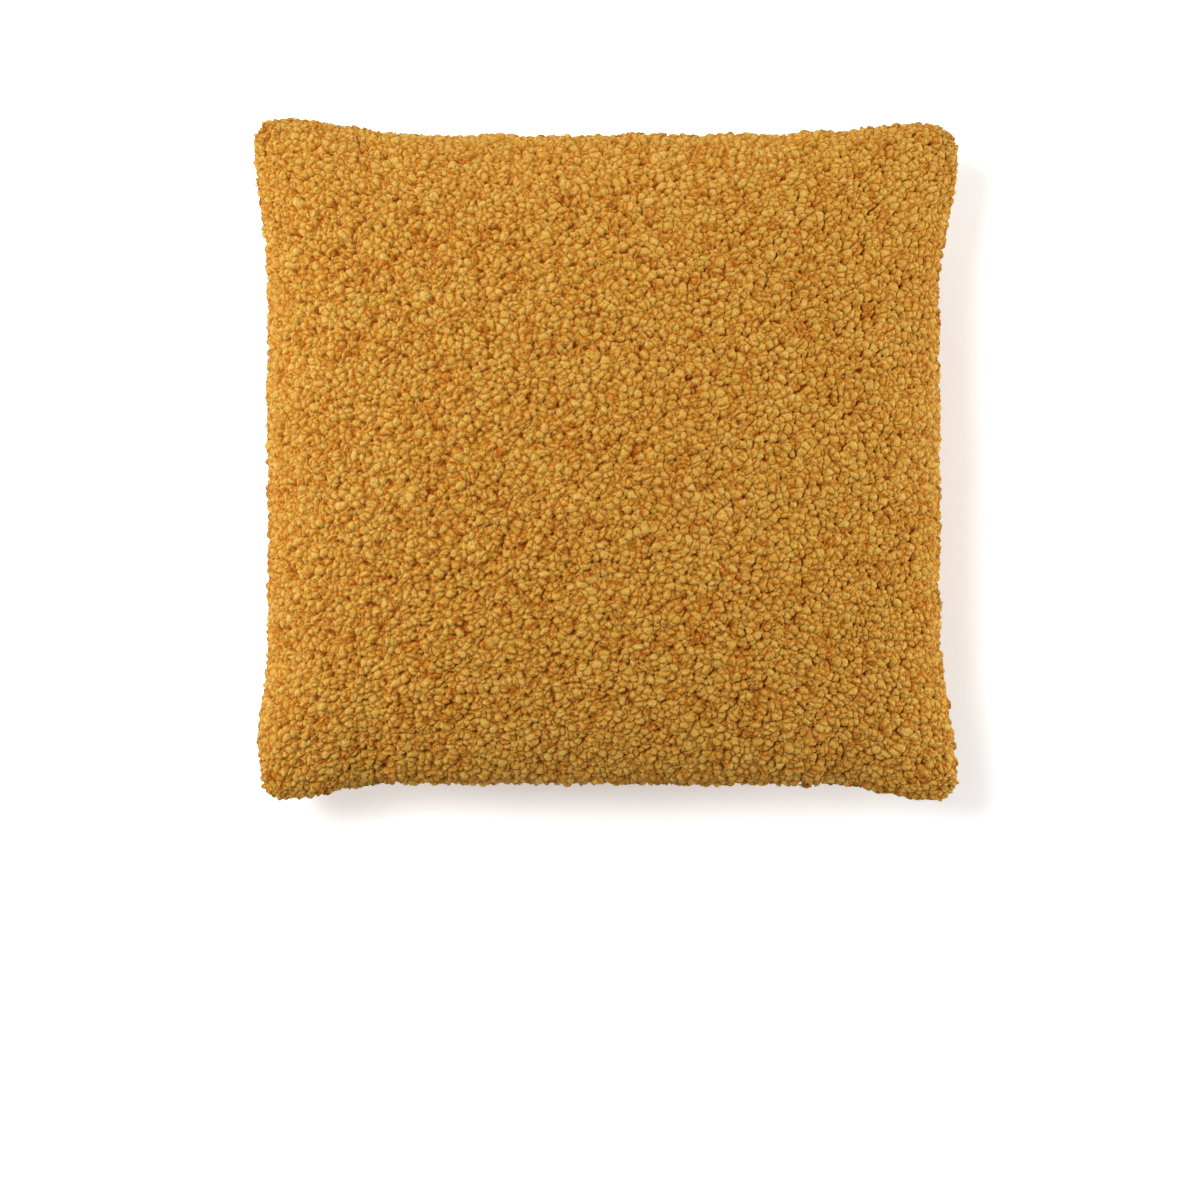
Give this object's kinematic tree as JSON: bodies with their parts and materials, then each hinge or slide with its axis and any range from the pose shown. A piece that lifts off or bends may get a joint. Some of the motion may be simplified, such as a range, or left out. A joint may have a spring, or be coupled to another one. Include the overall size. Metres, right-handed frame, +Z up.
{
  "type": "throw pillow",
  "caption": "Square stuffed throw pillow in a curly boucle cover with pointed ears and a concealed zip with a sliding pull in one seam.",
  "frame": {"origin": "middle of the pillow's footprint, on the surface that it lies on", "axes": "+X to the pillow's right, +Y towards its top edge, away from the zip, +Z up through the front panel"},
  "size_m": [0.4398, 0.4258, 0.13],
  "materials": {
    "boucle": "curly boucle pile, mustard yellow",
    "thread": "spun polyester sewing thread",
    "zip_tape": "woven polyester tape",
    "zip_nylon": "dyed nylon coil",
    "zip_metal": "die-cast zinc, painted to match the cover",
    "casing": "white non-woven polypropylene",
    "filling": "loose polyester hollow fibre",
    "label": "blank white satin ribbon"
  },
  "bodies": {
    "cushion": {"cover_front_panel": "boucle", "cover_back_panel": "boucle", "cover_seam_thread": "thread", "cover_overlock_thread": "thread", "zip_end_seam_left": "thread", "zip_end_seam_right": "thread", "zip_stitch_front": "thread", "zip_stitch_back": "thread", "zip_overlock_front": "thread", "zip_overlock_back": "thread", "zip_tape_front": "zip_tape", "zip_tape_back": "zip_tape", "zip_coil_front": "zip_nylon", "zip_coil_back": "zip_nylon", "zip_top_stop_front": "zip_metal", "zip_top_stop_back": "zip_metal", "zip_bottom_stop": "zip_metal", "care_label": "label", "insert_casing_front": "casing", "insert_casing_back": "casing", "insert_seam_thread": "casing", "insert_closing_stitch": "casing", "insert_filling": "filling"},
    "zip_slider": {"zip_slider": "zip_metal"},
    "zip_pull": {"zip_pull_tab": "zip_metal"}
  },
  "joints": [
    {"name": "zip_slide", "type": "slide", "parent": "cushion", "child": "zip_slider", "axis": [-1, 0, 0], "range_m": [0, 0.2494]},
    {"name": "pull_swing", "type": "hinge", "parent": "zip_slider", "child": "zip_pull", "pos_m": [0.1252, -0.2042, 0.058], "axis": [-1, 0, 0], "range_deg": [-8, 165]}
  ]
}
